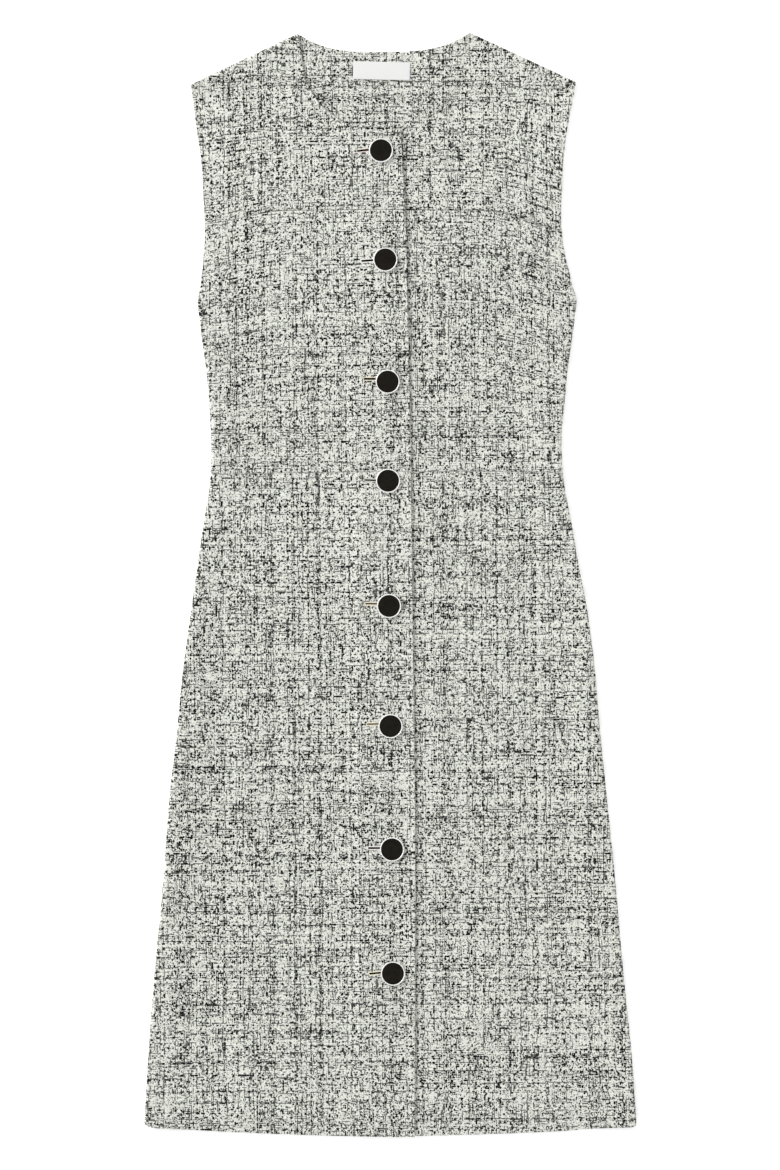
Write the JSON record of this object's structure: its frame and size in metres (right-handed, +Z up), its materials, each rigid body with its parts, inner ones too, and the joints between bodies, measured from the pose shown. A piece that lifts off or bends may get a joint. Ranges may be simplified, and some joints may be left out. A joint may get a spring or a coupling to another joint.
{
  "type": "sleeveless a-line dress",
  "caption": "Knee-length sleeveless A-line tweed dress with a scooped neck and a row of buttons down the front, laid flat with its front up.",
  "frame": {"origin": "middle of the laid dress, on the surface that it lies on", "axes": "+Y towards the neck, +Z up out of the front, +X towards the wearer's left side"},
  "size_m": [0.4673, 1.0481, 0.0102],
  "materials": {
    "tweed": "matt tweed in off-white and black",
    "label": "smooth white woven label",
    "button_metal": "polished silver rim",
    "button_enamel": "glossy near-black enamel"
  },
  "bodies": {
    "root": {"right_front_yoke": "tweed", "right_front_bodice": "tweed", "right_front_skirt": "tweed", "left_front_yoke": "tweed", "left_front_bodice": "tweed", "left_front_skirt": "tweed", "back_bodice": "tweed", "back_skirt": "tweed", "neck_label": "label", "button_1": "button_metal", "button_1_face": "button_enamel", "button_2": "button_metal", "button_2_face": "button_enamel", "button_3": "button_metal", "button_3_face": "button_enamel", "button_4": "button_metal", "button_4_face": "button_enamel", "button_5": "button_metal", "button_5_face": "button_enamel", "button_6": "button_metal", "button_6_face": "button_enamel", "button_7": "button_metal", "button_7_face": "button_enamel", "button_8": "button_metal", "button_8_face": "button_enamel"}
  },
  "joints": []
}
